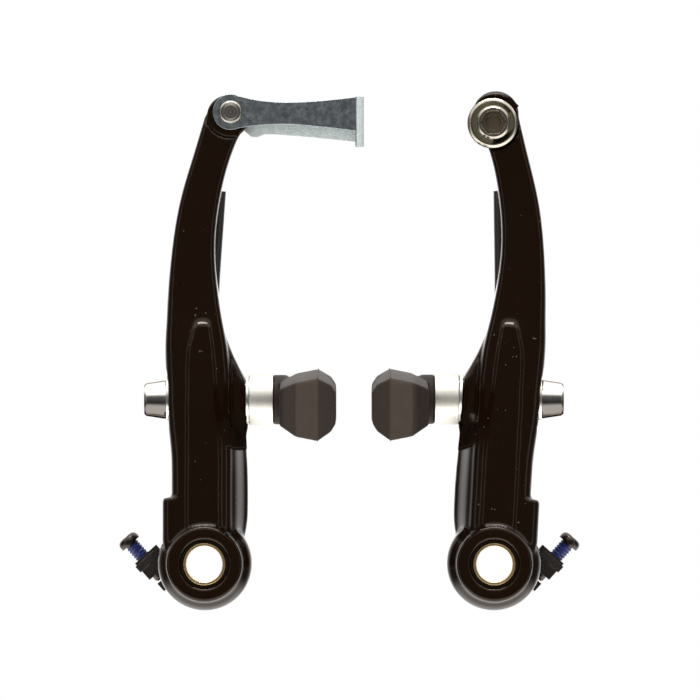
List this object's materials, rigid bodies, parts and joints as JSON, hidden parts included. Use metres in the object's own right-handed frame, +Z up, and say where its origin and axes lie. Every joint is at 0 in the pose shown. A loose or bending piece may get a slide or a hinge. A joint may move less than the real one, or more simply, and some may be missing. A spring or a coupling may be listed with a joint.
{
  "type": "linear-pull rim brake",
  "caption": "Linear-pull bicycle rim brake: two forged arms on pivot bushes with moulded pads, ball washers, return springs, a folded cable link and a cable anchor.",
  "frame": {"origin": "left boss axis at the rear seat face, where the fork's boss shoulder bears", "axes": "+X from the left arm to the right one, +Y to the back towards the fork, along the boss axes, +Z up"},
  "size_m": [0.1044, 0.07, 0.1169],
  "materials": {
    "arm": "gloss black paint",
    "bush": "turned",
    "liner": "moulded bearing liner",
    "holder": "moulded",
    "zinc": "bright zinc plate",
    "blue_zinc": "bluish zinc plate",
    "black_screw": "black oxide, with a blue locking patch",
    "black_nut": "black oxide",
    "spring_wire": "drawn spring wire",
    "boot": "soft tube",
    "pad_rubber": "matt moulded rubber",
    "stud_steel": "rolled thread",
    "satin_alloy": "satin turned",
    "chrome": "bright chrome plate"
  },
  "bodies": {
    "fork_side": {"left_bush": "bush", "left_spring_holder": "holder", "left_adjuster_nut": "black_nut", "right_bush": "bush", "right_spring_holder": "holder", "right_adjuster_nut": "black_nut"},
    "left_lever": {"left_arm": "arm", "left_sleeve": "liner", "left_spring": "spring_wire", "left_spring_boot": "boot", "left_spring_stud": "zinc", "link_rivet": "zinc"},
    "left_domes": {"left_inner_dome": "zinc", "left_outer_dome": "zinc"},
    "left_shoe": {"left_pad": "pad_rubber", "left_pad_stud": "stud_steel", "left_inner_cup": "satin_alloy", "left_outer_cup": "zinc", "left_flat_washer": "zinc", "left_pad_nut": "chrome"},
    "left_spring_hub": {"left_spring_seat": "holder"},
    "left_tension_screw": {"left_adjuster_screw": "black_screw"},
    "right_lever": {"right_arm": "arm", "right_sleeve": "liner", "right_spring": "spring_wire", "right_spring_boot": "boot", "right_spring_stud": "zinc", "anchor_bolt": "chrome", "anchor_washer": "zinc", "clamp_plate": "arm"},
    "right_domes": {"right_inner_dome": "zinc", "right_outer_dome": "zinc"},
    "right_shoe": {"right_pad": "pad_rubber", "right_pad_stud": "stud_steel", "right_inner_cup": "satin_alloy", "right_outer_cup": "zinc", "right_flat_washer": "zinc", "right_pad_nut": "chrome"},
    "right_spring_hub": {"right_spring_seat": "holder"},
    "right_tension_screw": {"right_adjuster_screw": "black_screw"},
    "link": {"cable_link": "blue_zinc"}
  },
  "joints": [
    {"name": "left_pivot", "type": "hinge", "parent": "fork_side", "child": "left_lever", "pos_m": [0, -0.013, 0], "axis": [0, 1, 0], "range_deg": [-25, 4], "stiffness_Nm_per_rad": 0.85, "deforming": ["left_spring"]},
    {"name": "left_pad_height", "type": "slide", "parent": "left_lever", "child": "left_domes", "axis": [0, 0, 1], "range_m": [-0.003, 0.003]},
    {"name": "left_pad_turn", "type": "hinge", "parent": "left_domes", "child": "left_shoe", "pos_m": [0.00265, -0.0132, 0.0368], "axis": [1, 0, 0], "range_deg": [-15, 15]},
    {"name": "left_hub_turn", "type": "hinge", "parent": "fork_side", "child": "left_spring_hub", "pos_m": [0, -0.01, 0], "axis": [0, 1, 0], "range_deg": [-8, 2]},
    {"name": "left_tension_slide", "type": "slide", "parent": "fork_side", "child": "left_tension_screw", "axis": [0.6691, 0, -0.7431], "range_m": [-0.0004, 0.0015]},
    {"name": "right_pivot", "type": "hinge", "parent": "fork_side", "child": "right_lever", "pos_m": [0.065, -0.013, 0], "axis": [0, -1, 0], "range_deg": [-25, 4], "stiffness_Nm_per_rad": 0.85, "deforming": ["right_spring"]},
    {"name": "right_pad_height", "type": "slide", "parent": "right_lever", "child": "right_domes", "axis": [0.0558, 0, 0.9984], "range_m": [-0.003, 0.003]},
    {"name": "right_pad_turn", "type": "hinge", "parent": "right_domes", "child": "right_shoe", "pos_m": [0.06441, -0.0132, 0.03689], "axis": [1, 0, 0], "range_deg": [-15, 15]},
    {"name": "right_hub_turn", "type": "hinge", "parent": "fork_side", "child": "right_spring_hub", "pos_m": [0.065, -0.01, 0], "axis": [0, -1, 0], "range_deg": [-8, 2]},
    {"name": "right_tension_slide", "type": "slide", "parent": "fork_side", "child": "right_tension_screw", "axis": [-0.6691, 0, -0.7431], "range_m": [-0.0004, 0.0015]},
    {"name": "link_pin", "type": "hinge", "parent": "left_lever", "child": "link", "pos_m": [0.0058, -0.0132, 0.1015], "axis": [0, 1, 0], "range_deg": [-160, 18]}
  ],
  "couplings": [
    {"joint": "left_tension_slide", "follows": "left_hub_turn", "m_per_rad": -0.00996},
    {"joint": "right_tension_slide", "follows": "right_hub_turn", "m_per_rad": -0.00996}
  ]
}
